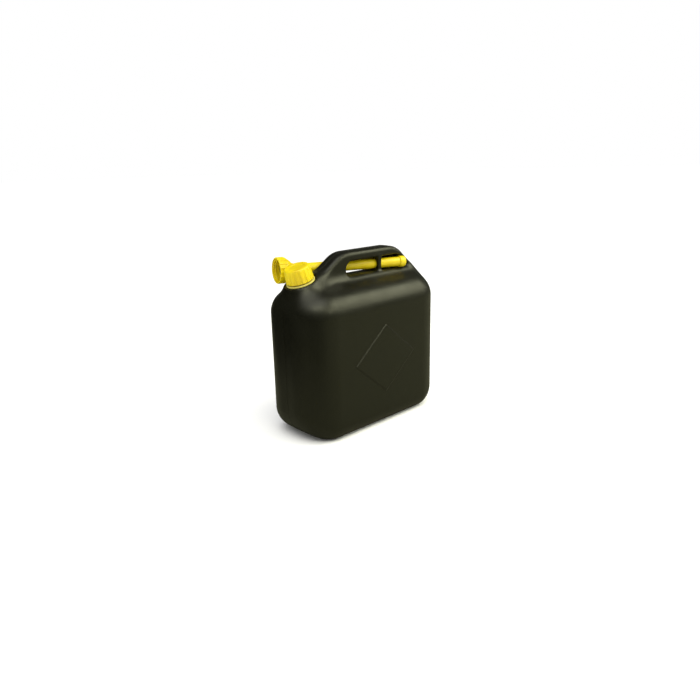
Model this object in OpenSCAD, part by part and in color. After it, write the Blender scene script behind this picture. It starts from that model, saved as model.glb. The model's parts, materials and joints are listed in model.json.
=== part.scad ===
// Ten-litre fuel can: blow-moulded body with a hollow top handle, a tilted
// screw neck with its cap, and a pouring spout stored through the handle.
// Millimetres, +Z up. The origin is the middle of the base, on the ground.
// The neck is at the -X end and the long front face looks along -Y.

/* [Can] */
// Length of the body along X
can_l = 338; // [330:1:346]
// Depth of the body along Y
can_d = 153; // [148:1:158]
// Radius of the four upright corners, seen from above
corner_r = 61.5; // [56:0.5:66]
// Height at which the upright walls start to turn into the shoulder
shoulder_z = 224; // [216:1:230]
// Radius of the shoulder
shoulder_r = 42; // [38:1:46]
// Radius at the foot of the two short ends
foot_end_r = 57; // [50:1:62]
// Radius at the foot of the two long sides
foot_side_r = 28; // [22:1:34]
// Thickness of the blow-moulded wall
wall = 2.4; // [1.8:0.2:3]
// Height of the raised diamond on each long side
diamond_rise = 1.6; // [1:0.2:2.4]

/* [Handle] */
// Height of the top of the handle
handle_top_z = 322; // [318:1:326]
// Width of the handle along Y
handle_w = 36; // [32:1:40]
// Lowest point of the finger window
window_z0 = 279; // [277:0.5:281]
// Highest point of the finger window
window_z1 = 306; // [304:0.5:307]
// Left end of the finger window
window_x0 = -35; // [-38:1:-32]
// Right end of the pocket that holds the tip of the stored spout
window_x1 = 120; // [116:1:122]

/* [Neck] */
// Distance of the neck from the middle of the can, towards -X
neck_x = 126.5; // [125:0.5:129]
// Height of the seat of the retaining ring on the neck axis
neck_z = 279.5; // [278:0.5:281]
// Lean of the neck towards the short end, in degrees
neck_lean = 17; // [15:1:20]
// Outer radius of the neck under its thread
neck_r = 18.7; // [18.6:0.1:18.8]
// Axial distance between two turns of the thread
pitch = 4.5; // [4.2:0.1:4.8]

/* [Cap] */
// Radius of the cap over its ribs at the open end
cap_r = 24.8; // [24.6:0.1:25.2]
// Height of the cap
cap_h = 25; // [24.5:0.5:26]
// Number of grip ribs on the cap
cap_ribs = 16; // [12:1:18]

/* [Spout] */
// Length of the spout from the mouth of its collar to its tip
spout_l = 264; // [260:1:266]
// Turn of the stored spout in plan, in degrees
spout_yaw = -15.7; // [-16.2:0.1:-15.4]
// Drop of the stored spout towards its tip, in degrees
spout_drop = 1.5; // [1.2:0.1:1.8]
// Outer diameter of the tube next to the collar
tube_d0 = 19.8; // [19.4:0.2:20.8]
// Outer diameter of the tube where it has stepped down for the web
tube_dw = 18.6; // [18.2:0.2:19]
// Outer diameter of the tube at the tip
tube_d1 = 18; // [17.6:0.2:18.2]
// Radius of the collar over its ribs
collar_r = 23.2; // [23:0.1:23.4]
// Length of the collar
collar_l = 25; // [24:0.5:26]

/* [Hidden] */
joint_lap = 0.01;            // overlap where two shapes of one piece meet
clear = 0.5;                 // play between pieces that move on each other
thread_h = 1.6;              // height of every thread ridge
thread_root = 2.0;           // axial width of a ridge where it leaves its wall
thread_crest = 1.0;          // axial width of a ridge at its crest
crest_r = neck_r + thread_h; // radius over the neck thread
bore_r = crest_r + clear;    // inner wall of cap and collar
mouth_r = 16.2;              // bore of the neck
neck_h = 25;                 // neck above the seat of the ring
ring_h = 2.6;                // height of the retaining ring
ring_r = 25.4;               // radius of the retaining ring
cap_seat = ring_h + 2.2;     // rim of the closed cap above the ring's seat
cap_top = 2.6;               // thickness of the cap's top
seal_h = 1.6;                // thickness of the seal in the cap
half_l = can_l / 2;
half_d = can_d / 2;
web_x = 50;                  // the web that holds the tip stands here
web_t = 9;                   // thickness of the web along X
web_d = handle_w - 1;        // and along Y
pocket_y = 7;                // right of the web the window is closed behind this
roof_z = shoulder_z + shoulder_r;
boss_h = 20;                 // height of the raised deck that carries the neck
boss_r = 26.4;               // radius of its top
split_z = roof_z + 1;        // where the moulding is parted into its two nodes
web_y = -1.9;                // where the spout axis crosses the web
web_z = 291.1;
tip_s = 67;                  // distance from the web to the tip, along the spout
mouth_s = tip_s - spout_l;   // and from the web to the collar's mouth
skirt_l = 15.5;              // ribbed part of the collar, before its cone
flange_s = 14.8;             // front face of the tube's flange, from the collar's mouth
flange_t = 2.4;
flange_r = 17.6;
stem_r = 13.2;               // tube behind its flange, inside the collar
gasket_t = 1.8;
tip_cap_l = 13;
tip_cap_d = 21.4;
passage_r = tip_cap_d / 2 + clear;
charcoal = [0.10, 0.10, 0.09];
cream = [0.86, 0.80, 0.22];
rubber = [0.16, 0.16, 0.16];
lemon = [0.90, 0.80, 0.05];

// ---------- the shell ----------

// how far an arc of radius r has drawn in, at distance d past its start
function drawn_in(r, d) = d <= 0 ? 0 : r - sqrt(max(0, r * r - d * d));

function end_inset(z, g) = drawn_in(foot_end_r - g, foot_end_r - z)
                         + drawn_in(shoulder_r - g, z - shoulder_z);
function side_inset(z, g) = drawn_in(foot_side_r - g, foot_side_r - z)
                          + drawn_in(shoulder_r - g, z - shoulder_z);

// level section of the shell at height z, set in by g from its outer face
corner_steps = 10;
function section(z, g) =
    let (a = half_l - g - end_inset(z, g),
         b = half_d - g - side_inset(z, g),
         foot = drawn_in(foot_end_r - g, foot_end_r - z) + drawn_in(foot_side_r - g, foot_side_r - z),
         r = corner_r - g - 0.36 * foot - drawn_in(shoulder_r - g, z - shoulder_z))
    [for (q = [0:3], k = [0:corner_steps])
        let (t = 90 * (q + k / corner_steps), sx = q == 0 || q == 3 ? 1 : -1, sy = q < 2 ? 1 : -1)
        [sx * (a - r) + r * cos(t), sy * (b - r) + r * sin(t), z]];

module shell(g) {
    levels = concat([for (a = [0:10:90]) foot_end_r - (foot_end_r - g) * cos(a)],
                    [for (a = [0:10:90]) shoulder_z + (shoulder_r - g) * sin(a)]);
    rings = [for (z = levels) section(z, g)];
    n = len(rings[0]);
    last = (len(rings) - 1) * n;
    polyhedron(
        points = [for (r = rings) each r],
        faces = concat(
            [[for (k = [0:n - 1]) k]],
            [for (i = [0:len(rings) - 2], k = [0:n - 1])
                [i * n + k, (i + 1) * n + k, (i + 1) * n + (k + 1) % n, i * n + (k + 1) % n]],
            [[for (k = [n - 1:-1:0]) last + k]]),
        convexity = 4);
}

// rounded disc standing across the handle, centred at x, z
module puck(x, z, r, g) {
    edge = min(7, r - 1) - g;
    translate([x, 0, z]) rotate([90, 0, 0]) rotate_extrude($fn = 40) intersection() {
        translate([0, -handle_w]) square([2 * r, 2 * handle_w]);
        hull() for (s = [-1, 1]) {
            translate([r - g - edge, s * (handle_w / 2 - g - edge)]) circle(edge, $fn = 20);
            translate([0, s * (handle_w / 2 - g - edge / 2)]) square([2, edge], center = true);
        }
    }
}

module handle_blank(g) {
    hull() {
        puck(-96, 262, 14, g);
        puck(-34, handle_top_z - 20, 20, g);
        puck(88, handle_top_z - 24, 24, g);
        puck(151, 258, 14, g);
    }
}

// finger window, grown by g for the wall around it: right through as far as
// the web, and past the web a pocket that is closed at the back
module window_cut(g) {
    low_r = 7;
    high_r = 9;
    intersection() {
        hull() {
            for (p = [[window_x0 + high_r, window_z0 + low_r, low_r],
                      [window_x0 + high_r, window_z1 - high_r, high_r],
                      [window_x1 - 22, window_z1 - high_r, high_r],
                      [window_x1 + 1, window_z0 + low_r, low_r]])
                translate([p[0], 0, p[1]]) rotate([90, 0, 0])
                    cylinder(r = p[2] + g, h = 2 * can_d, center = true, $fn = 32);
        }
        union() {
            translate([-can_l, -can_d, 0]) cube([can_l + web_x + web_t / 2 + g, 2 * can_d, 2 * can_l]);
            translate([web_x, -can_d, 0]) cube([can_l, can_d + pocket_y + g, 2 * can_l]);
        }
    }
}

// raised panel on a long side; side is -1 for the front and 1 for the back
module diamond(side) {
    root = 2;
    translate([3, side * (half_d - root), 130.5]) rotate([side * -90, 0, 0])
        linear_extrude(root + diamond_rise, scale = 0.94)
            offset(6) polygon([[72, 0], [0, 59], [-72, 0], [0, -59]]);
}

// ---------- frames ----------

module on_neck(h = 0) {
    translate([-neck_x, 0, neck_z]) rotate([0, -neck_lean, 0]) translate([0, 0, h]) children();
}

// the spout's own frame: +Z runs along the tube to the tip, zero at the web
module on_spout(s = 0) {
    translate([web_x, web_y, web_z]) rotate([0, 90 + spout_drop, spout_yaw])
        translate([0, 0, s]) children();
}

// way for the stored spout: a hollow in the back of the left leg and a hole in the web
module spout_passage(g) {
    on_spout(mouth_s) cylinder(r = passage_r + g, h = spout_l + 1.2 + g, $fn = 40);
}

// helical ridge: root radius, crest radius, first height, number of turns
module thread(root, crest, z0, turns, phase) {
    steps = round(28 * turns);
    rings = [for (i = [0:steps])
        let (a = 360 * i / 28 + phase, z = z0 + pitch * i / 28,
             taper = min(1, i / 4, (steps - i) / 4),
             top = root + (crest - root) * max(taper, 0.05))
        [for (p = [[root, -thread_root / 2], [top, -thread_crest / 2],
                   [top, thread_crest / 2], [root, thread_root / 2]])
            [p[0] * cos(a), p[0] * sin(a), z + p[1]]]];
    outward = crest > root;
    polyhedron(
        points = [for (r = rings) each r],
        faces = concat(
            [outward ? [3, 2, 1, 0] : [0, 1, 2, 3]],
            [for (i = [0:steps - 1], k = [0:3])
                let (a = 4 * i + k, b = 4 * i + (k + 1) % 4)
                outward ? [b, b + 4, a + 4, a] : [a, a + 4, b + 4, b]],
            [outward ? [4 * steps, 4 * steps + 1, 4 * steps + 2, 4 * steps + 3]
                     : [4 * steps + 3, 4 * steps + 2, 4 * steps + 1, 4 * steps]]),
        convexity = 10);
}

// grip ribs around a skirt: n hulls from radius r0 at height 0 to r1 at height h
module ribs(n, r0, r1, h, w) {
    for (i = [0:n - 1]) rotate(360 * i / n) hull() {
        translate([r0 - w / 2, 0, 0]) cylinder(r = w / 2, h = joint_lap, $fn = 16);
        translate([r1 - w / 2, 0, h]) cylinder(r = w / 2, h = joint_lap, $fn = 16);
    }
}

// ---------- the pieces ----------

// The whole blow-moulded can. It is one moulding, kept as two nodes that meet
// face to face just above the roof: the tank below, and the handle and neck above.
module moulding() {
    difference() {
        union() {
            shell(0);
            handle_blank(0);
            diamond(-1);
            diamond(1);
            on_neck(-boss_h) cylinder(r1 = boss_r + 11, r2 = boss_r, h = boss_h, $fn = 64);
            on_neck(-2) cylinder(r = neck_r, h = neck_h + 2, $fn = 64);
            on_neck() thread(neck_r - 0.4, crest_r, 9, 3, 0);
        }
        difference() {
            union() {
                shell(wall);
                handle_blank(wall);
            }
            window_cut(wall);
            spout_passage(wall);
        }
        on_neck(-boss_h - 6) cylinder(r = mouth_r, h = boss_h + neck_h + 10, $fn = 64);
        difference() {
            window_cut(0);
            translate([web_x, 0, (window_z0 + window_z1) / 2])
                cube([web_t, web_d, window_z1 - window_z0 + 2], center = true);
        }
        spout_passage(0);
    }
}

module can_body() {
    color(charcoal) intersection() {
        moulding();
        translate([-can_l, -can_d, -1]) cube([2 * can_l, 2 * can_d, split_z + 1]);
    }
}

module can_top() {
    color(charcoal) intersection() {
        moulding();
        translate([-can_l, -can_d, split_z]) cube([2 * can_l, 2 * can_d, handle_top_z]);
    }
}

module tamper_ring() {
    bevel = 0.8;
    color(cream) on_neck(0.3) difference() {
        union() {
            cylinder(r = ring_r, h = ring_h - bevel, $fn = 72);
            translate([0, 0, ring_h - bevel - joint_lap])
                cylinder(r1 = ring_r, r2 = ring_r - bevel, h = bevel, $fn = 72);
        }
        translate([0, 0, -1]) cylinder(r = neck_r + clear, h = ring_h + 2, $fn = 72);
    }
}

module screw_cap() {
    crown = 2;
    recess_r = 14;
    recess_h = 0.8;
    seat_r = 19.2;
    color(lemon) on_neck(cap_seat) union() {
        difference() {
            union() {
                cylinder(r1 = cap_r - 1.3, r2 = cap_r - 3, h = cap_h - crown, $fn = 64);
                translate([0, 0, cap_h - crown - joint_lap])
                    cylinder(r1 = cap_r - 3, r2 = cap_r - 5, h = crown, $fn = 64);
                ribs(cap_ribs, cap_r, cap_r - 2.2, cap_h - 3, 5.2);
            }
            translate([0, 0, -1]) cylinder(r = bore_r, h = cap_h - cap_top - 3, $fn = 64);
            translate([0, 0, cap_h - cap_top - 5]) cylinder(r = seat_r, h = 5, $fn = 64);
            translate([0, 0, cap_h - recess_h]) cylinder(r = recess_r, h = 2, $fn = 64);
        }
        thread(bore_r + 0.3, bore_r - thread_h, 9 - cap_seat + pitch / 2, 2, 0);
    }
}

module cap_seal() {
    color(rubber) on_neck(neck_h + 0.3) cylinder(r = 18.6, h = seal_h, $fn = 72);
}

module spout_tube() {
    back = mouth_s + flange_s;
    cone = mouth_s + collar_l + 1;
    cone_l = 8;
    step_l = 6;
    end = tip_s - 2.2;
    r0 = tube_d0 / 2;
    rw = tube_dw / 2;
    r1 = tube_d1 / 2;
    t = 1.6;
    color(lemon) on_spout() rotate_extrude($fn = 72) polygon([
        [stem_r - t, back], [flange_r, back], [flange_r, back + flange_t], [stem_r, back + flange_t],
        [stem_r, cone], [r0, cone + cone_l], [r0, -step_l], [rw, 0], [r1, end],
        [r1 - t, end], [rw - t, 0], [r0 - t, -step_l], [r0 - t, cone + cone_l], [stem_r - t, cone]]);
}

module spout_gasket() {
    color(rubber) on_spout(mouth_s + flange_s - gasket_t) difference() {
        cylinder(r = flange_r, h = gasket_t, $fn = 72);
        translate([0, 0, -1]) cylinder(r = stem_r - 0.8, h = gasket_t + 2, $fn = 72);
    }
}

module spout_collar() {
    seat = flange_s + flange_t + 0.4;
    skirt_r = collar_r - 0.9;
    color(lemon) on_spout(mouth_s) union() {
        difference() {
            union() {
                cylinder(r = skirt_r, h = skirt_l, $fn = 64);
                translate([0, 0, skirt_l - joint_lap])
                    cylinder(r1 = skirt_r, r2 = stem_r + 2.4, h = collar_l - skirt_l, $fn = 64);
                ribs(18, collar_r, collar_r, skirt_l - 1, 4);
            }
            translate([0, 0, -1]) cylinder(r = bore_r, h = flange_s - gasket_t, $fn = 64);
            translate([0, 0, -1]) cylinder(r = flange_r + clear, h = seat + 1, $fn = 64);
            translate([0, 0, -1]) cylinder(r = stem_r + clear, h = collar_l + 2, $fn = 64);
        }
        thread(bore_r + 0.3, bore_r - thread_h, 2.4, 1.6, 0);
    }
}

module tip_cap() {
    inner = tube_d1 / 2 + 0.35;
    outer = tip_cap_d / 2;
    nose_r = 3.4;
    end_t = 1.8;
    color(lemon) on_spout(tip_s - tip_cap_l) rotate_extrude($fn = 72) polygon(concat(
        [[inner, 0], [outer, 0], [outer, tip_cap_l - nose_r]],
        [for (a = [15:15:90]) [outer - nose_r + nose_r * cos(a), tip_cap_l - nose_r + nose_r * sin(a)]],
        [[0, tip_cap_l], [0, tip_cap_l - end_t], [inner, tip_cap_l - end_t]]));
}

can_body();
can_top();
tamper_ring();
screw_cap();
cap_seal();
spout_tube();
spout_gasket();
spout_collar();
tip_cap();
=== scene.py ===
import json
import math

import bmesh
import bpy
import numpy as np
from mathutils import Matrix, Vector


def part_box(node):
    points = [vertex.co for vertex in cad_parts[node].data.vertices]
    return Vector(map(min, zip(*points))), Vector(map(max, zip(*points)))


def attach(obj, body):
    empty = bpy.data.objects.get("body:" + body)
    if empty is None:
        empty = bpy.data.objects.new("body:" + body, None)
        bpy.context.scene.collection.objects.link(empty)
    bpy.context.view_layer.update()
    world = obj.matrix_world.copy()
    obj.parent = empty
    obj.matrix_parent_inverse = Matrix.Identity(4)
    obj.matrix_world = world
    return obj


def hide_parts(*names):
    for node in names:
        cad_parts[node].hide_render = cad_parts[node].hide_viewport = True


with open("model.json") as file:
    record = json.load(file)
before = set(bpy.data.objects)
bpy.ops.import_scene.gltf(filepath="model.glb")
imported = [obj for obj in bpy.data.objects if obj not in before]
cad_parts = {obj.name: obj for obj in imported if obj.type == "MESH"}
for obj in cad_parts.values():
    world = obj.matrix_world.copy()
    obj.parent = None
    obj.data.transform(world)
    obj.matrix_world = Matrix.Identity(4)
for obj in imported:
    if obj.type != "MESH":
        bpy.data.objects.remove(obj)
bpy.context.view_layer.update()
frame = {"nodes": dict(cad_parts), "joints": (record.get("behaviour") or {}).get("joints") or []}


# ---------------------------------------------------------------------------
# Camera. Stands to the left of the neck end, a little above the handle, and
# looks down on the front long side and the neck end.
# ---------------------------------------------------------------------------
heading = math.radians(47.17)
look_down = math.radians(17.08)
camera_roll = math.radians(-1.4)
forward = Vector((
    math.cos(heading) * math.cos(look_down),
    math.sin(heading) * math.cos(look_down),
    -math.sin(look_down),
))
level_right = Vector((math.sin(heading), -math.cos(heading), 0.0))
level_up = level_right.cross(forward)
image_right = level_right * math.cos(camera_roll) + level_up * math.sin(camera_roll)
image_up = level_up * math.cos(camera_roll) - level_right * math.sin(camera_roll)

camera = bpy.data.objects.new("camera", bpy.data.cameras.new("camera"))
camera.data.sensor_width = 36.0
camera.data.lens = 30.68
camera.data.clip_end = 50.0
standpoint = Vector((-0.7532, -0.7954, 0.467))
turn = Matrix((image_right, image_up, -forward)).transposed().to_4x4()
camera.matrix_world = Matrix.Translation(standpoint) @ turn
bpy.context.scene.collection.objects.link(camera)
bpy.context.scene.camera = camera


# ---------------------------------------------------------------------------
# The can: one blow moulding of black polyethylene. Tank, hollow handle, the
# web in the finger window and the seat of the neck flow into each other with
# the wide fillets that a parison leaves. Measures here are in millimetres.
# ---------------------------------------------------------------------------
MM = 0.001
can_low, can_high = (np.array(corner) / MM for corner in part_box("can_body"))
half_length = (can_high[0] - can_low[0]) / 2
panel_rise = 1.6
half_depth = (can_high[1] - can_low[1]) / 2 - panel_rise
handle_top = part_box("can_top")[1][2] / MM
corner_radius = 61.5
shoulder_top = 266.0
shoulder_radius = 42.0
end_foot_radius = 57.0
side_foot_radius = 28.0
draft = 0.004
middle_height = 110.0
base_hollow_inset = 68.0
base_hollow_height = 2.5

panel_centre = (3.0, 130.5)
panel_half_width = 78.0
panel_half_height = 65.0
panel_inner_reach = 50.0
panel_bevel = 2.6
side_start = 60.0

handle_left_slope = ((-109.0, 277.0), (-62.0, 309.0))
handle_right_slope = ((97.5, 321.0), (155.5, 270.5))
handle_left_end = -135.0
handle_right_end = 152.0
handle_base = 236.0
handle_half_width = 18.0
handle_edge_radius = 8.0
flare = 10.0
flare_top = 284.0
flare_height = 40.0

window_low = 279.0
window_high = 305.0
window_left_side = ((-36.0, window_low), (-34.0, window_high))
window_right_side = ((108.0, window_high), (128.0, 284.0))
pocket_wall = 7.0
web_half_thickness = 4.5
web_half_depth = 17.2
web_middle = 293.0
web_half_height = 15.0

joints = {joint["name"]: joint for joint in frame["joints"]}
neck_foot = np.array(joints["ring_turn"]["pos_m"]) / MM
neck_axis = np.array(joints["ring_turn"]["axis"])
web_centre = np.array(joints["collar_turn"]["pos_m"]) / MM
spout_axis = np.array(joints["collar_turn"]["axis"])


def reach(node, foot, axis):
    """Lowest and highest point of a CAD node along an axis, in millimetres from its foot."""
    heights = [(np.array(v.co) / MM - foot) @ axis for v in frame["nodes"][node].data.vertices]
    return min(heights), max(heights)


tip_reach = reach("tip_cap", web_centre, spout_axis)[1]
mouth_reach = reach("spout_collar", web_centre, spout_axis)[0]
passage_radius = 11.2
mouth_radius = 16.2
neck_radius = 18.7
neck_height = 25.0
bore_foot = -20.0
seat_radius = 26.4
seat_depth = 60.0
seat_taper_length = 90.0
seat_fillet = 30.0
handle_fillet = 28.0
thread_pitch = 4.5


def blend_in(a, b, width):
    """Union of two distances with a fillet about as wide as width."""
    h = np.maximum(width - np.abs(a - b), 0.0) / width
    return np.minimum(a, b) - h * h * width / 4


def blend_out(a, b, width):
    """Overlap of two distances with a rounded edge."""
    return -blend_in(-a, -b, width)


def rounded_edge(a, b, radius):
    """Overlap of two distances whose shared edge has an exact radius."""
    u = a + radius
    v = b + radius
    return np.minimum(np.maximum(u, v), 0.0) + np.hypot(np.maximum(u, 0.0), np.maximum(v, 0.0)) - radius


def from_axis(x, y, z, foot, axis):
    """Height along an axis and distance from it."""
    u, v, w = x - foot[0], y - foot[1], z - foot[2]
    along = u * axis[0] + v * axis[1] + w * axis[2]
    square = u * u + v * v + w * w - along * along
    return along, np.sqrt(np.maximum(square, 0.0))


def tank_distance(x, y, z):
    """Tank with round upright corners, a draft, round shoulders and a foot that is rounder at its ends."""
    px = np.abs(x) - (half_length - corner_radius)
    py = np.abs(y) - (half_depth - corner_radius)
    past_corner = np.hypot(np.maximum(px, 0.0), np.maximum(py, 0.0))
    plan = np.minimum(np.maximum(px, py), 0.0) + past_corner - corner_radius
    plan = plan + draft * (z - middle_height)
    endness = (np.maximum(px, 0.0) / np.maximum(past_corner, 1e-6)) ** 2
    foot = side_foot_radius + (end_foot_radius - side_foot_radius) * endness
    top = rounded_edge(plan, z - shoulder_top, shoulder_radius)
    return np.maximum(top, rounded_edge(plan, -z, foot))


def panel_edge(x, z):
    """Distance outside the outline of the diamond on a long side, in its plane."""
    across = np.abs(x - panel_centre[0]) / panel_half_width
    upright = np.abs(z - panel_centre[1]) / panel_half_height
    return (across + upright - 1.0) * panel_inner_reach


def panel_height(x, z):
    """Raised diamond on the long sides: 1 on the panel, 0 outside it."""
    t = np.clip(-panel_edge(x, z) / panel_bevel, 0.0, 1.0)
    return t * t * (3 - 2 * t)


def line_distance(x, z, start, end):
    """Distance from a line in the XZ plane, above zero to the left of the way from start to end."""
    dx, dz = end[0] - start[0], end[1] - start[1]
    return ((z - start[1]) * dx - (x - start[0]) * dz) / math.hypot(dx, dz)


def handle_distance(x, y, z):
    """Handle: a bar with sloping ends, which gets wider where it runs into the shoulders."""
    left = line_distance(x, z, *handle_left_slope)
    right = line_distance(x, z, *handle_right_slope)
    outline = blend_out(blend_out(left, z - handle_top, 10.0), right, 14.0)
    outline = blend_out(outline, x - handle_right_end, 16.0)
    outline = blend_out(outline, handle_left_end - x, 16.0)
    breadth = handle_half_width + flare * np.clip((flare_top - z) / flare_height, 0.0, 1.0) ** 2
    grip = rounded_edge(outline, np.abs(y) - breadth, handle_edge_radius)
    return np.maximum(grip, handle_base - z)


def window_distance(x, y, z):
    """Finger window right through, and past the web a pocket for the tip that is closed at the back."""
    left = line_distance(x, z, *window_left_side)
    right = line_distance(x, z, *window_right_side)
    outline = blend_out(blend_out(left, z - window_high, 16.0), right, 14.0)
    outline = blend_out(outline, window_low - z, 12.0)
    pocket_back = np.minimum(y - pocket_wall, x - web_centre[0])
    return np.maximum(outline, pocket_back)


def can_distance(x, y, z):
    """The whole moulding: outside it is above zero, inside below."""
    tank = tank_distance(x, y, z) - panel_rise * panel_height(x, z) * (np.abs(y) > side_start)
    rise, off = from_axis(x, y, z, neck_foot, neck_axis)
    taper = np.maximum(-rise, 0.0) ** 2 / seat_taper_length
    seat = rounded_edge(off - seat_radius + taper, np.abs(rise + seat_depth / 2) - seat_depth / 2, 1.5)
    body = blend_in(tank, seat, seat_fillet)
    body = blend_in(body, handle_distance(x, y, z), handle_fillet)
    body = blend_out(body, -np.maximum(off - seat_radius - 1.5, -rise), 2.0)
    body = blend_out(body, -window_distance(x, y, z), 5.0)
    web = np.maximum(np.abs(x - web_centre[0]) - web_half_thickness, np.abs(y) - web_half_depth)
    web = np.maximum(web, np.abs(z - web_middle) - web_half_height)
    body = blend_in(body, web, 4.0)
    along, away = from_axis(x, y, z, web_centre, spout_axis)
    passage = np.maximum(away - passage_radius, np.maximum(along - tip_reach - 1.2, mouth_reach - along))
    body = blend_out(body, -passage, 1.2)
    body = np.maximum(body, -np.maximum(off - mouth_radius, bore_foot - rise))
    base_plan = tank_distance(x, y, np.maximum(z, middle_height)) + base_hollow_inset
    return blend_out(body, -np.maximum(base_plan, z - base_hollow_height), 3.0)


def settled(distance, points, farthest):
    """Points moved on to the surface by a few Newton steps, none longer than farthest."""
    for _ in range(3):
        p = points.T
        value = distance(*p)
        slope = np.array([(distance(*(p + 0.3 * step[:, None])) - value) / 0.3 for step in np.eye(3)])
        shift = slope * value / np.maximum((slope ** 2).sum(0), 0.2)
        points = points - np.clip(shift, -farthest, farthest).T
    return points


def skin_points(distance, low, high, cell):
    """Quads on the surface where distance is zero, by dual cells of a regular grid."""
    axes = [np.arange(low[i], high[i] + cell, cell) for i in range(3)]
    grid = np.meshgrid(*axes, indexing="ij")
    field = distance(*grid)
    inside = field < 0
    n = [len(a) - 1 for a in axes]
    corners = [(i, j, k) for i in (0, 1) for j in (0, 1) for k in (0, 1)]

    def at(values, corner):
        """Values at one corner of every cell."""
        return values[tuple(slice(c, c + m) for c, m in zip(corner, n))]

    count = sum(at(inside, c).astype(np.int8) for c in corners)
    active = (count > 0) & (count < 8)
    number = np.full(active.shape, -1)
    number[active] = np.arange(active.sum())
    total = np.zeros((active.sum(), 3))
    hits = np.zeros(active.sum())
    for a in corners:
        for axis in range(3):
            if a[axis]:
                continue
            b = tuple(1 if i == axis else v for i, v in enumerate(a))
            fa, fb = at(field, a)[active], at(field, b)[active]
            crossed = (fa < 0) != (fb < 0)
            t = np.where(crossed, fa / np.where(crossed, fa - fb, 1.0), 0.0)
            point = np.tile(np.array(a, float), (len(t), 1))
            point[:, axis] = t
            total += point * crossed[:, None]
            hits += crossed
    index = np.argwhere(active)
    points = np.array(low) + cell * (index + total / hits[:, None])
    points = settled(distance, points, cell / 2)
    quads = []
    for axis in range(3):
        u, v = (axis + 1) % 3, (axis + 2) % 3
        ahead = tuple(slice(1, None) if i == axis else slice(None) for i in range(3))
        behind = tuple(slice(None, -1) if i == axis else slice(None) for i in range(3))
        crossing = np.argwhere(inside[behind] != inside[ahead])
        leaving = inside[behind][tuple(crossing.T)]
        ring = []
        for du, dv in ((0, 0), (-1, 0), (-1, -1), (0, -1)):
            cell_index = crossing.copy()
            cell_index[:, u] += du
            cell_index[:, v] += dv
            ring.append(number[tuple(cell_index.T)])
        ring = np.stack(ring, 1)
        quads.append(np.where(leaving[:, None], ring[:, ::-1], ring)[:, ::-1])
    return points, np.vstack(quads)


def as_object(name, points_mm, faces):
    """Object at the origin from points in millimetres."""
    mesh = bpy.data.meshes.new(name)
    mesh.from_pydata((points_mm * MM).tolist(), [], faces.tolist())
    mesh.validate()
    made = bpy.data.objects.new(name, mesh)
    bpy.context.scene.collection.objects.link(made)
    return made


def smooth(piece, angle=35.0):
    """Smooth shading, with edges sharper than angle kept crisp."""
    piece.data.shade_smooth()
    piece.data.set_sharp_from_angle(angle=math.radians(angle))


grid_cell = 2.2
grid_margin = 9.0
grid_low = can_low - grid_margin
grid_high = (*(can_high[:2] + grid_margin), handle_top + grid_margin)
points, faces = skin_points(can_distance, grid_low, grid_high, grid_cell)
can = as_object("can_shell", points, faces)

# The bevel of the diamond is narrower than two cells, so it gets smaller faces.
refined_half_band = 3.2
finer = bmesh.new()
finer.from_mesh(can.data)
centres = np.array([face.calc_center_median() for face in finer.faces]) / MM
from_bevel = np.abs(panel_edge(centres[:, 0], centres[:, 2]) + panel_bevel / 2)
at_bevel = (from_bevel < refined_half_band) & (np.abs(centres[:, 1]) > side_start)
finer.faces.ensure_lookup_table()
near_bevel = {edge.index for i in np.flatnonzero(at_bevel) for edge in finer.faces[i].edges}
old_count = len(finer.verts)
bevel_edges = [edge for edge in finer.edges if edge.index in near_bevel]
bmesh.ops.subdivide_edges(finer, edges=bevel_edges, cuts=2, use_grid_fill=True)
bmesh.ops.triangulate(finer, faces=[face for face in finer.faces if len(face.verts) > 4])
finer.verts.ensure_lookup_table()
added = finer.verts[old_count:]
for vertex, place in zip(added, settled(can_distance, np.array([v.co for v in added]) / MM, 1.0)):
    vertex.co = place * MM
finer.to_mesh(can.data)
finer.free()
smooth(can)


def finish(name, colour, roughness, specular_level):
    """A principled material with its node tree; the constants sit on the shader itself."""
    material = bpy.data.materials.new(name)
    material.use_nodes = True
    surface = material.node_tree.nodes["Principled BSDF"]
    surface.inputs["Base Color"].default_value = (*colour, 1.0)
    surface.inputs["Roughness"].default_value = roughness
    surface.inputs["Specular IOR Level"].default_value = specular_level
    return material, surface


def noise(material, scale, detail, stretch=(1.0, 1.0, 1.0), turned=(0.0, 0.0, 0.0)):
    """Noise on the piece's own coordinates, in metres; returns its value socket."""
    nodes, links = material.node_tree.nodes, material.node_tree.links
    where = nodes.new("ShaderNodeTexCoord")
    mapping = nodes.new("ShaderNodeMapping")
    mapping.inputs["Rotation"].default_value = turned
    mapping.inputs["Scale"].default_value = stretch
    texture = nodes.new("ShaderNodeTexNoise")
    texture.inputs["Scale"].default_value = scale
    texture.inputs["Detail"].default_value = detail
    links.new(where.outputs["Object"], mapping.inputs["Vector"])
    links.new(mapping.outputs["Vector"], texture.inputs["Vector"])
    return texture.outputs["Fac"]


def ranged(material, value, low, high, to_low, to_high):
    """The part of value between low and high, spread from to_low to to_high."""
    node = material.node_tree.nodes.new("ShaderNodeMapRange")
    for label, number in (("From Min", low), ("From Max", high), ("To Min", to_low), ("To Max", to_high)):
        node.inputs[label].default_value = number
    material.node_tree.links.new(value, node.inputs["Value"])
    return node.outputs["Result"]


def tinted(material, surface, factor, colour, worn):
    """Base colour that goes from colour to worn by a factor."""
    mix = material.node_tree.nodes.new("ShaderNodeMix")
    mix.data_type = "RGBA"
    mix.inputs[6].default_value = (*colour, 1.0)
    mix.inputs[7].default_value = (*worn, 1.0)
    material.node_tree.links.new(factor, mix.inputs[0])
    material.node_tree.links.new(mix.outputs[2], surface.inputs["Base Color"])


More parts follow.
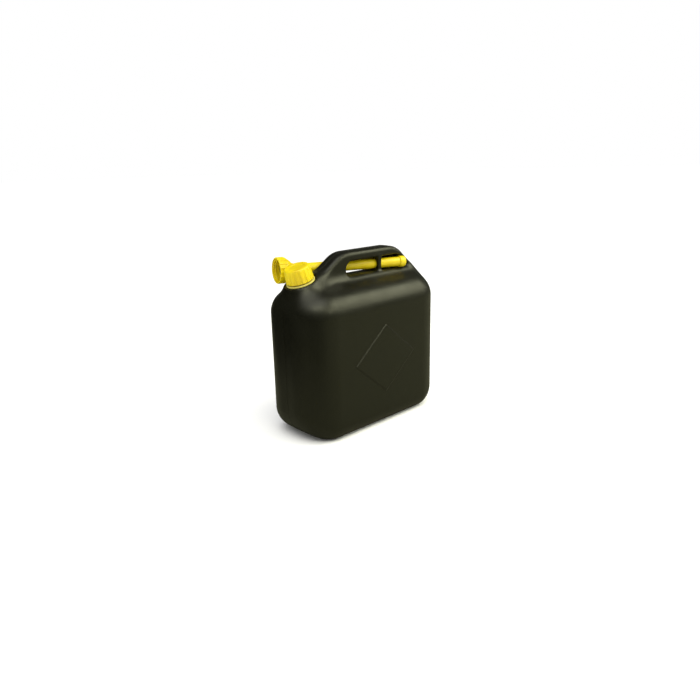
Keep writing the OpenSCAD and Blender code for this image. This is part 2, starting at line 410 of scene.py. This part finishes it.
def bumped(material, surface, heights):
    """Bumps on top of each other: (height socket, depth in metres, strength) from coarse to fine."""
    last = None
    for height, depth, strength in heights:
        bump = material.node_tree.nodes.new("ShaderNodeBump")
        bump.inputs["Distance"].default_value = depth
        bump.inputs["Strength"].default_value = strength
        material.node_tree.links.new(height, bump.inputs["Height"])
        if last:
            material.node_tree.links.new(last, bump.inputs["Normal"])
        last = bump.outputs["Normal"]
    material.node_tree.links.new(last, surface.inputs["Normal"])


def times(material, a, b):
    """Product of two value sockets."""
    node = material.node_tree.nodes.new("ShaderNodeMath")
    node.operation = "MULTIPLY"
    material.node_tree.links.new(a, node.inputs[0])
    material.node_tree.links.new(b, node.inputs[1])
    return node.outputs[0]


can_colour = (0.0030, 0.0031, 0.0010)
can_black, can_surface = finish("black_polyethylene", can_colour, 0.4, 0.45)
can_surface.inputs["Specular Tint"].default_value = (1.0, 1.0, 0.82, 1.0)
long_noise = noise(can_black, 22.0, 3.0, stretch=(26.0, 1.4, 1.4), turned=(0.4, 0.9, 0.5))
scratch = ranged(can_black, long_noise, 0.66, 0.72, 0.0, 1.0)
rubbed_area = ranged(can_black, noise(can_black, 7.0, 2.0), 0.5, 0.68, 0.0, 1.0)
scuff = times(can_black, scratch, rubbed_area)
tinted(can_black, can_surface, scuff, can_colour, (0.014, 0.014, 0.010))
can_black.node_tree.links.new(
    ranged(can_black, noise(can_black, 30.0, 5.0), 0.3, 0.7, 0.37, 0.46), can_surface.inputs["Roughness"])
bumped(can_black, can_surface, (
    (noise(can_black, 11.0, 1.0), 0.0012, 0.35),
    (noise(can_black, 1500.0, 2.0), 0.00006, 0.5),
    (scuff, 0.00005, 0.3),
))
can.data.materials.append(can_black)
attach(can, "can")
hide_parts("can_body", "can_top")


# ---------------------------------------------------------------------------
# Parting line of the can: the thin ridge that the two halves of the blow
# mould leave all round the middle, over the handle and under the base.
# ---------------------------------------------------------------------------
ridge_radius = 0.3


def empty_tree(name, inputs):
    """A Geometry Nodes tree with its ends and its named inputs."""
    group = bpy.data.node_groups.new(name, "GeometryNodeTree")
    group.interface.new_socket("Geometry", in_out="INPUT", socket_type="NodeSocketGeometry")
    for label, kind in inputs:
        group.interface.new_socket(label, in_out="INPUT", socket_type="NodeSocket" + kind)
    group.interface.new_socket("Geometry", in_out="OUTPUT", socket_type="NodeSocketGeometry")
    return group, group.nodes.new("NodeGroupInput"), group.nodes.new("NodeGroupOutput")


def grow(name, seed_mesh, group, values):
    """Runs a tree on a mesh with its inputs set and keeps the result as a plain mesh."""
    made = bpy.data.objects.new(name, seed_mesh)
    bpy.context.scene.collection.objects.link(made)
    modifier = made.modifiers.new(name, "NODES")
    modifier.node_group = group
    for socket in group.interface.items_tree:
        if socket.in_out == "INPUT" and socket.name in values:
            modifier[socket.identifier] = values[socket.name]
    graph = bpy.context.evaluated_depsgraph_get()
    result = bpy.data.meshes.new_from_object(made.evaluated_get(graph))
    made.modifiers.clear()
    made.data = result
    return made


def finished_by(group, ends, geometry):
    """Closes a tree: instances become real and the material input is set."""
    real = group.nodes.new("GeometryNodeRealizeInstances")
    coat = group.nodes.new("GeometryNodeSetMaterial")
    group.links.new(geometry, real.inputs["Geometry"])
    group.links.new(real.outputs["Geometry"], coat.inputs["Geometry"])
    group.links.new(ends[0].outputs["Material"], coat.inputs["Material"])
    group.links.new(coat.outputs["Geometry"], ends[1].inputs["Geometry"])


def round_section(group, ends, curve, sides):
    """Sweeps a round section of the Radius input along a curve."""
    section = group.nodes.new("GeometryNodeCurvePrimitiveCircle")
    section.inputs["Resolution"].default_value = sides
    sweep = group.nodes.new("GeometryNodeCurveToMesh")
    sweep.inputs["Fill Caps"].default_value = True
    group.links.new(ends[0].outputs["Radius"], section.inputs["Radius"])
    group.links.new(curve, sweep.inputs["Curve"])
    group.links.new(section.outputs["Curve"], sweep.inputs["Profile Curve"])
    return sweep.outputs["Mesh"]


ridge_tree, *ridge_ends = empty_tree("ridge_along_edges", (("Radius", "Float"), ("Material", "Material")))
edge_curve = ridge_tree.nodes.new("GeometryNodeMeshToCurve")
ridge_tree.links.new(ridge_ends[0].outputs["Geometry"], edge_curve.inputs["Mesh"])
finished_by(ridge_tree, ridge_ends, round_section(ridge_tree, ridge_ends, edge_curve.outputs["Curve"], 6))

behind = points[:, 1] > 0
next_corner = np.roll(faces, -1, axis=1)
crossed = behind[faces] != behind[next_corner]
passed = crossed.sum(axis=1) == 2
face_sides = np.sort(np.stack([faces, next_corner], axis=2), axis=2)
crossings, order = np.unique(face_sides[passed][crossed[passed]], axis=0, return_inverse=True)
near, far = points[crossings[:, 0]], points[crossings[:, 1]]
middle = near + (far - near) * (near[:, 1] / (near[:, 1] - far[:, 1]))[:, None]
middle_line = bpy.data.meshes.new("middle_line")
middle_line.from_pydata((middle * MM).tolist(), order.reshape(-1, 2).tolist(), [])
parting_line = grow("parting_line", middle_line, ridge_tree, {
    "Radius": ridge_radius * MM, "Material": can_black})
parting_line.data.shade_smooth()
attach(parting_line, "can")
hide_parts("can_body")


# ---------------------------------------------------------------------------
# Neck of the can: moulded in one with it and finished by a blow pin, so its
# bore is true. A right-hand thread of round section runs up the outside.
# ---------------------------------------------------------------------------
thread_radius = 1.2
thread_start = 9.0
neck_thread_turns = 3.0


def eased(points):
    """Outline in r and z whose corners, given as (r, z, radius), become arcs of eight steps."""
    out = []
    for i, (r, z, bend) in enumerate(points):
        here = np.array((r, z))
        if bend == 0:
            out.append(here)
            continue
        before = np.array(points[i - 1][:2]) - here
        after = np.array(points[(i + 1) % len(points)][:2]) - here
        before, after = before / np.linalg.norm(before), after / np.linalg.norm(after)
        half = math.acos(np.clip(before @ after, -1, 1)) / 2
        reach_back = bend / math.tan(half)
        middle = here + (before + after) / np.linalg.norm(before + after) * bend / math.sin(half)
        start, stop = here + before * reach_back - middle, here + after * reach_back - middle
        sweep = math.pi - 2 * half
        for k in range(9):
            t = k / 8
            mix = (math.sin((1 - t) * sweep) * start + math.sin(t * sweep) * stop) / math.sin(sweep)
            out.append(middle + mix)
    return out


def along_axis(foot, axis):
    """Matrix from a piece's own frame, +Z along its axis, to the shared frame in metres."""
    turned = Vector(axis).to_track_quat("Z", "Y").to_matrix().to_4x4()
    return Matrix.Translation(Vector(foot) * MM) @ turned @ Matrix.Scale(MM, 4)


def lathe(name, outline, place, steps=96):
    """Turns a closed outline of (r, z) round the axis; points on the axis become poles."""
    rings, vertices = [], []
    for r, z in eased(outline):
        if r < 1e-6:
            rings.append([len(vertices)] * steps)
            vertices.append((0.0, 0.0, z))
            continue
        rings.append([len(vertices) + k for k in range(steps)])
        vertices += [(r * math.cos(2 * math.pi * k / steps), r * math.sin(2 * math.pi * k / steps), z)
                     for k in range(steps)]
    quads = []
    for i, ring in enumerate(rings):
        above = rings[(i + 1) % len(rings)]
        for k in range(steps):
            corners = [ring[k], ring[(k + 1) % steps], above[(k + 1) % steps], above[k]]
            corners = [c for j, c in enumerate(corners) if c != corners[j - 1]]
            if len(corners) > 2:
                quads.append(corners)
    mesh = bpy.data.meshes.new(name)
    mesh.from_pydata(vertices, [], quads)
    mesh.transform(place)
    solid = bmesh.new()
    solid.from_mesh(mesh)
    bmesh.ops.recalc_face_normals(solid, faces=solid.faces)
    solid.to_mesh(mesh)
    solid.free()
    made = bpy.data.objects.new(name, mesh)
    bpy.context.scene.collection.objects.link(made)
    smooth(made)
    return made


def dress(piece, material, body, nodes):
    """Gives a piece its material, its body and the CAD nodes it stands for."""
    piece.data.materials.clear()
    piece.data.materials.append(material)
    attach(piece, body)
    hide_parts(*nodes)


thread_tree, *thread_ends = empty_tree("thread", (
    ("Coil radius", "Float"), ("Height", "Float"), ("Turns", "Float"), ("Radius", "Float"),
    ("Material", "Material")))
coil = thread_tree.nodes.new("GeometryNodeCurveSpiral")
coil.inputs["Resolution"].default_value = 48
coil.inputs["Reverse"].default_value = True
for end in ("Start Radius", "End Radius"):
    thread_tree.links.new(thread_ends[0].outputs["Coil radius"], coil.inputs[end])
thread_tree.links.new(thread_ends[0].outputs["Height"], coil.inputs["Height"])
thread_tree.links.new(thread_ends[0].outputs["Turns"], coil.inputs["Rotations"])
finished_by(thread_tree, thread_ends, round_section(thread_tree, thread_ends, coil.outputs["Curve"], 10))


def thread(name, coil_radius, start, turns, place, material):
    """Right-hand ridge of round section on a wall; start is the height of its first end."""
    ridge = grow(name, bpy.data.meshes.new(name + "_seed"), thread_tree, {
        "Coil radius": coil_radius, "Height": turns * thread_pitch, "Turns": turns,
        "Radius": thread_radius, "Material": material})
    ridge.data.transform(place @ Matrix.Translation((0, 0, start)))
    ridge.data.shade_smooth()
    return ridge


on_neck = along_axis(neck_foot, neck_axis)
neck_root = bore_foot + 0.5
neck = lathe("neck", (
    (mouth_radius, neck_root, 0),
    (neck_radius, neck_root, 0),
    (neck_radius, neck_height, 0.8),
    (mouth_radius, neck_height, 0.6),
), on_neck)
dress(neck, can_black, "can", ["can_top"])
neck_thread = thread(
    "neck_thread", neck_radius + 0.4, thread_start, neck_thread_turns, on_neck, can_black)
dress(neck_thread, can_black, "can", ["can_top"])


# ---------------------------------------------------------------------------
# Tamper ring: pale polyethylene, moulded with the cap and torn off it when
# the can is first opened. It turns loosely on the neck, under the cap.
# ---------------------------------------------------------------------------
ring_low, ring_high = reach("tamper_ring", neck_foot, neck_axis)
ring_radius = 25.4
ring_bore = neck_radius + 0.5
bridge_count = 10
bridge_height = 0.6

ring_colour = (0.62, 0.55, 0.13)
pale_yellow, pale_surface = finish("pale_yellow_polyethylene", ring_colour, 0.42, 0.35)
pale_cloud = ranged(pale_yellow, noise(pale_yellow, 160.0, 3.0), 0.35, 0.7, 0.0, 1.0)
tinted(pale_yellow, pale_surface, pale_cloud, ring_colour, (0.52, 0.45, 0.09))
bumped(pale_yellow, pale_surface, ((noise(pale_yellow, 1200.0, 2.0), 0.00004, 0.5),))

ring = lathe("ring", (
    (ring_bore, ring_low, 0.3),
    (ring_radius, ring_low, 0.6),
    (ring_radius, ring_high, 0.9),
    (ring_bore, ring_high, 0.3),
), on_neck)
dress(ring, pale_yellow, "ring", ["tamper_ring"])


def bar(low, high, depth, width, bevel):
    """Upright bar for a grip rib or a bridge; low and high are (outer radius, z) at its ends."""
    corners = []
    for outer, z in (low, high):
        corners += [(outer - depth, -width / 2, z), (outer, -width / 2, z),
                    (outer, width / 2, z), (outer - depth, width / 2, z)]
    mesh = bpy.data.meshes.new("bar")
    mesh.from_pydata(corners, [], [
        (0, 3, 2, 1), (4, 5, 6, 7), (0, 1, 5, 4), (1, 2, 6, 5), (2, 3, 7, 6), (3, 0, 4, 7)])
    block = bmesh.new()
    block.from_mesh(mesh)
    outer_edges = [e for e in block.edges if sum(v.index in (1, 2, 5, 6) for v in e.verts)]
    bmesh.ops.bevel(block, geom=outer_edges, offset=bevel, segments=4, affect="EDGES", profile=0.5)
    block.to_mesh(mesh)
    block.free()
    return mesh


ring_of_tree, *ring_of_ends = empty_tree("ring_of_copies", (("Count", "Int"), ("Material", "Material")))
copy_points = ring_of_tree.nodes.new("GeometryNodePoints")
copies = ring_of_tree.nodes.new("GeometryNodeInstanceOnPoints")
number = ring_of_tree.nodes.new("GeometryNodeInputIndex")
share = ring_of_tree.nodes.new("ShaderNodeMath")
share.operation = "DIVIDE"
full_turn = ring_of_tree.nodes.new("ShaderNodeMath")
full_turn.operation = "MULTIPLY"
full_turn.inputs[1].default_value = 2 * math.pi
about_axis = ring_of_tree.nodes.new("ShaderNodeCombineXYZ")
for start, stop in (
    (ring_of_ends[0].outputs["Count"], copy_points.inputs["Count"]),
    (number.outputs["Index"], share.inputs[0]),
    (ring_of_ends[0].outputs["Count"], share.inputs[1]),
    (share.outputs[0], full_turn.inputs[0]),
    (full_turn.outputs[0], about_axis.inputs["Z"]),
    (copy_points.outputs[0], copies.inputs["Points"]),
    (ring_of_ends[0].outputs["Geometry"], copies.inputs["Instance"]),
    (about_axis.outputs[0], copies.inputs["Rotation"]),
):
    ring_of_tree.links.new(start, stop)
finished_by(ring_of_tree, ring_of_ends, copies.outputs["Instances"])


def ring_of(name, shape, count, place, material):
    """Copies of a shape set evenly round an axis."""
    made = grow(name, shape, ring_of_tree, {"Count": count, "Material": material})
    made.data.transform(place)
    smooth(made)
    return made


bridge = bar((22.6, ring_high - 0.3), (22.4, ring_high + bridge_height), 1.0, 1.2, 0.2)
torn_bridges = ring_of("torn_bridges", bridge, bridge_count, on_neck, pale_yellow)
dress(torn_bridges, pale_yellow, "ring", ["tamper_ring"])


# ---------------------------------------------------------------------------
# Screw cap: yellow polyethylene, injection moulded, with broad grip ribs that
# lean in towards the top and a shallow dish in its crown. It screws on the neck.
# ---------------------------------------------------------------------------
cap_low, cap_high = reach("screw_cap", neck_foot, neck_axis)
cap_radius = 24.8
cap_rib_count = 16
crown_lean = 2.2
bore_radius = 20.8
seal_seat_radius = 19.2
cap_thread_turns = 2.0

yellow_colour = (0.74, 0.58, 0.001)


def yellow_plastic(name, colour, deep, roughness):
    """Moulded yellow polyethylene, a little translucent, with faint flow marks."""
    material, surface = finish(name, colour, roughness, 0.4)
    surface.inputs["Subsurface Weight"].default_value = 0.15
    surface.inputs["Subsurface Radius"].default_value = (1.0, 0.7, 0.05)
    surface.inputs["Subsurface Scale"].default_value = 0.002
    flow = ranged(material, noise(material, 45.0, 4.0, (1.0, 1.0, 0.4)), 0.35, 0.7, 0.0, 1.0)
    tinted(material, surface, flow, colour, deep)
    gloss = ranged(material, noise(material, 80.0, 3.0), 0.3, 0.7, roughness - 0.05, roughness + 0.06)
    material.node_tree.links.new(gloss, surface.inputs["Roughness"])
    bumped(material, surface, (
        (noise(material, 40.0, 1.0), 0.0003, 0.3),
        (noise(material, 1400.0, 2.0), 0.00004, 0.4),
    ))
    return material


cap_yellow = yellow_plastic("cap_yellow_polyethylene", yellow_colour, (0.60, 0.44, 0.001), 0.34)
cap = lathe("cap", (
    (0.0, cap_high - 0.8, 0),
    (14.0, cap_high - 0.8, 0.4),
    (14.8, cap_high, 0.4),
    (cap_radius - 3.0, cap_high, 2.4),
    (cap_radius - 1.3, cap_low, 0.5),
    (bore_radius, cap_low, 0.4),
    (bore_radius, cap_high - 5.6, 0.3),
    (seal_seat_radius, cap_high - 5.6, 0.3),
    (seal_seat_radius, cap_high - 2.6, 0.3),
    (0.0, cap_high - 2.6, 0),
), on_neck)
dress(cap, cap_yellow, "cap", ["screw_cap"])
cap_rib = bar((cap_radius, cap_low + 0.1), (cap_radius - crown_lean, cap_high - 2.2), 3.0, 5.2, 1.3)
cap_ribs = ring_of("cap_ribs", cap_rib, cap_rib_count, on_neck, cap_yellow)
dress(cap_ribs, cap_yellow, "cap", ["screw_cap"])
cap_thread = thread(
    "cap_thread", bore_radius + 0.1, thread_start + thread_pitch / 2, cap_thread_turns, on_neck, cap_yellow)
dress(cap_thread, cap_yellow, "cap", ["screw_cap"])


# ---------------------------------------------------------------------------
# Seal of the cap: a disc of black nitrile rubber, pressed in under the crown
# and squeezed on the lip of the neck.
# ---------------------------------------------------------------------------
seal_low, seal_high = reach("cap_seal", neck_foot, neck_axis)
seal_radius = 18.6

rubber_colour = (0.018, 0.018, 0.018)
black_rubber, rubber_surface = finish("black_rubber", rubber_colour, 0.75, 0.25)
rubber_cloud = ranged(black_rubber, noise(black_rubber, 220.0, 4.0), 0.4, 0.7, 0.0, 1.0)
tinted(black_rubber, rubber_surface, rubber_cloud, rubber_colour, (0.04, 0.04, 0.038))
bumped(black_rubber, rubber_surface, ((noise(black_rubber, 1800.0, 2.0), 0.00006, 0.6),))
seal = lathe("seal", (
    (0.0, seal_low, 0),
    (seal_radius, seal_low, 0.4),
    (seal_radius, seal_high, 0.4),
    (0.0, seal_high, 0),
), on_neck)
dress(seal, black_rubber, "seal", ["cap_seal"])


# ---------------------------------------------------------------------------
# Spout: one tapered tube of yellow polyethylene with a flange at its back end,
# stored through the handle with its tip in the pocket right of the web.
# ---------------------------------------------------------------------------
on_spout = along_axis(web_centre, spout_axis)
tube_back, tube_end = reach("spout_tube", web_centre, spout_axis)
collar_back, collar_front = reach("spout_collar", web_centre, spout_axis)
flange_radius = 17.6
flange_thickness = 2.4
stem_radius = 13.2
tube_root_radius = 9.9
tube_web_radius = 9.3
tube_tip_radius = 9.0
tube_wall = 1.6
taper_start = -6.0
flange_front = tube_back + flange_thickness
stem_end = collar_front + 1.0
root_start = collar_front + 9.0

spout_yellow = yellow_plastic("spout_yellow_polyethylene", (0.70, 0.55, 0.003), (0.58, 0.43, 0.001), 0.38)
tube = lathe("tube", (
    (stem_radius - tube_wall, tube_back, 0),
    (flange_radius, tube_back, 0.4),
    (flange_radius, flange_front, 0.4),
    (stem_radius, flange_front, 0.6),
    (stem_radius, stem_end, 6.0),
    (tube_root_radius, root_start, 6.0),
    (tube_root_radius, taper_start, 3.0),
    (tube_web_radius, 0.0, 3.0),
    (tube_tip_radius, tube_end, 0.4),
    (tube_tip_radius - tube_wall, tube_end, 0.4),
    (tube_web_radius - tube_wall, 0.0, 3.0),
    (tube_root_radius - tube_wall, taper_start, 3.0),
    (tube_root_radius - tube_wall, root_start, 6.0),
    (stem_radius - tube_wall, stem_end, 6.0),
), on_spout)
dress(tube, spout_yellow, "spout", ["spout_tube"])


# ---------------------------------------------------------------------------
# Gasket of the spout: a flat ring of black rubber against the flange, which
# seals on the lip of the neck when the spout is in use.
# ---------------------------------------------------------------------------
gasket_low, gasket_high = reach("spout_gasket", web_centre, spout_axis)
gasket_bore = stem_radius - 0.8
gasket = lathe("gasket", (
    (gasket_bore, gasket_low, 0.3),
    (flange_radius, gasket_low, 0.4),
    (flange_radius, gasket_high, 0.4),
    (gasket_bore, gasket_high, 0.3),
), on_spout)
dress(gasket, black_rubber, "spout", ["spout_gasket"])


# ---------------------------------------------------------------------------
# Collar of the spout: a ribbed yellow nut that turns on the tube behind its
# flange. Its thread fits the neck in place of the cap.
# ---------------------------------------------------------------------------
collar_radius = 23.2
collar_skirt = collar_back + 15.5
collar_rib_count = 18
collar_thread_turns = 1.6
collar_play = 0.5
flange_seat = flange_front + 0.4
collar = lathe("collar", (
    (bore_radius, collar_back, 0.5),
    (collar_radius - 0.9, collar_back, 0.8),
    (collar_radius - 0.9, collar_skirt, 2.5),
    (stem_radius + 2.4, collar_front, 1.2),
    (stem_radius + collar_play, collar_front, 0.5),
    (stem_radius + collar_play, flange_seat, 0.2),
    (flange_radius + collar_play, flange_seat, 0.3),
    (flange_radius + collar_play, gasket_low, 0.3),
    (bore_radius, gasket_low, 0.3),
), on_spout)
dress(collar, cap_yellow, "collar", ["spout_collar"])
collar_rib = bar((collar_radius, collar_back + 0.2), (collar_radius, collar_skirt - 0.6), 2.4, 4.2, 1.0)
collar_ribs = ring_of("collar_ribs", collar_rib, collar_rib_count, on_spout, cap_yellow)
dress(collar_ribs, cap_yellow, "collar", ["spout_collar"])
collar_thread = thread(
    "collar_thread", bore_radius + 0.1, collar_back + 2.8, collar_thread_turns, on_spout, cap_yellow)
dress(collar_thread, cap_yellow, "collar", ["spout_collar"])


# ---------------------------------------------------------------------------
# Tip cap: a push-on thimble of the same yellow polyethylene that keeps dirt
# and drips off the end of the spout.
# ---------------------------------------------------------------------------
tip_low, tip_high = reach("tip_cap", web_centre, spout_axis)
tip_outer = 10.7
tip_inner = tube_tip_radius + 0.35
tip_crown = tip_high - 1.8
tip_cap = lathe("tip_thimble", (
    (0.0, tip_high, 0),
    (tip_outer - 0.4, tip_high, 3.0),
    (tip_outer, tip_low + 2.6, 0.6),
    (tip_outer, tip_low, 0.6),
    (tip_inner, tip_low, 0.3),
    (tip_inner, tip_crown, 0.5),
    (0.0, tip_crown, 0),
), on_spout)
dress(tip_cap, spout_yellow, "tip", ["tip_cap"])


# ---------------------------------------------------------------------------
# Floor and light: a white table, a weak sun and five soft lights. Two of them,
# right of the front, draw the band along the shoulder. Dark cards round the left
# and a pale one at the neck end are seen only as reflections in the black can.
# ---------------------------------------------------------------------------
def sheet(name, corners, material):
    """A flat four-cornered stage piece."""
    mesh = bpy.data.meshes.new(name)
    mesh.from_pydata(corners, [], [(0, 1, 2, 3)])
    mesh.materials.append(material)
    made = bpy.data.objects.new(name, mesh)
    bpy.context.scene.collection.objects.link(made)
    return made


# The table is dimmer in reflections, so that the black sides stay dark.
floor_colour = (0.96, 0.96, 0.96)
floor_white, floor_surface = finish("floor_white", floor_colour, 1.0, 0.0)
floor_ray = floor_white.node_tree.nodes.new("ShaderNodeLightPath")
tinted(floor_white, floor_surface, floor_ray.outputs["Is Glossy Ray"], floor_colour, (0.23, 0.23, 0.16))
sheet("floor", [(-40, -40, 0), (40, -40, 0), (40, 40, 0), (-40, 40, 0)], floor_white)
card_black, _ = finish("card_black", (0.03, 0.03, 0.025), 1.0, 0.0)
card_pale, _ = finish("card_pale", (0.9, 0.9, 0.78), 1.0, 0.0)


def card(name, material, bearing, spread, away, tall):
    """A card on a circle round the can; bearing and spread are in degrees, away and tall in metres."""
    middle, half = math.radians(bearing), math.radians(spread / 2)
    a = (away * math.cos(middle - half), away * math.sin(middle - half))
    b = (away * math.cos(middle + half), away * math.sin(middle + half))
    made = sheet(name, [(*a, 0.001), (*b, 0.001), (*b, tall), (*a, tall)], material)
    made.visible_camera = False
    made.visible_shadow = False
    made.visible_diffuse = False


card("front_card", card_black, -138, 44, 0.62, 0.55)
card("end_card", card_black, 145, 104, 0.75, 0.6)
card("corner_card", card_pale, 156, 20, 0.7, 0.4)

world = bpy.data.worlds.new("studio")
world.use_nodes = True
air = world.node_tree
sight = air.nodes.new("ShaderNodeLightPath")


def air_mix(kind, plain, special):
    """The special background for one kind of ray, the plain one for the rest."""
    either = air.nodes.new("ShaderNodeMixShader")
    air.links.new(sight.outputs[kind], either.inputs["Fac"])
    air.links.new(plain, either.inputs[1])
    air.links.new(special, either.inputs[2])
    return either.outputs[0]


def glow(strength):
    """White background of a given strength."""
    background = air.nodes.new("ShaderNodeBackground")
    background.inputs["Color"].default_value = (1.0, 1.0, 1.0, 1.0)
    background.inputs["Strength"].default_value = strength
    return background.outputs[0]


around = air_mix("Is Camera Ray", air_mix("Is Glossy Ray", glow(0.55), glow(0.05)), glow(1.0))
air.links.new(around, air.nodes["World Output"].inputs["Surface"])
bpy.context.scene.world = world

daylight = bpy.data.lights.new("daylight", "SUN")
daylight.energy = 1.8
daylight.angle = math.radians(60)
daylight.specular_factor = 0.15
daylight_lamp = bpy.data.objects.new("daylight", daylight)
daylight_lamp.rotation_euler = (math.radians(12), math.radians(-14), 0)
bpy.context.scene.collection.objects.link(daylight_lamp)


def softbox(name, bearing, height, away, size, power):
    """A rectangular soft light aimed at the can, placed by bearing and height in degrees."""
    target = Vector((0, 0, 0.2))
    around_z, tilt = math.radians(bearing), math.radians(height)
    outward = Vector((
        math.cos(tilt) * math.cos(around_z),
        math.cos(tilt) * math.sin(around_z),
        math.sin(tilt),
    ))
    light = bpy.data.lights.new(name, "AREA")
    light.shape = "RECTANGLE"
    light.size, light.size_y = size
    light.energy = power
    light.color = (1.0, 1.0, 0.78)
    lamp = bpy.data.objects.new(name, light)
    lamp.location = target + outward * away
    lamp.rotation_euler = (-outward).to_track_quat("-Z", "Y").to_euler()
    lamp.visible_camera = False
    bpy.context.scene.collection.objects.link(lamp)


softbox("shoulder_light", -38, 43, 1.8, (1.3, 0.6), 15)
softbox("band_light", -36, 23, 1.8, (1.2, 0.45), 7)
softbox("edge_light", -80, 30, 1.8, (0.6, 0.4), 5)
softbox("front_light", -122, 47, 1.8, (1.0, 0.5), 7)
softbox("neck_end_light", 168, 12, 1.6, (0.5, 0.5), 1)
bpy.context.scene.view_settings.view_transform = "Standard"
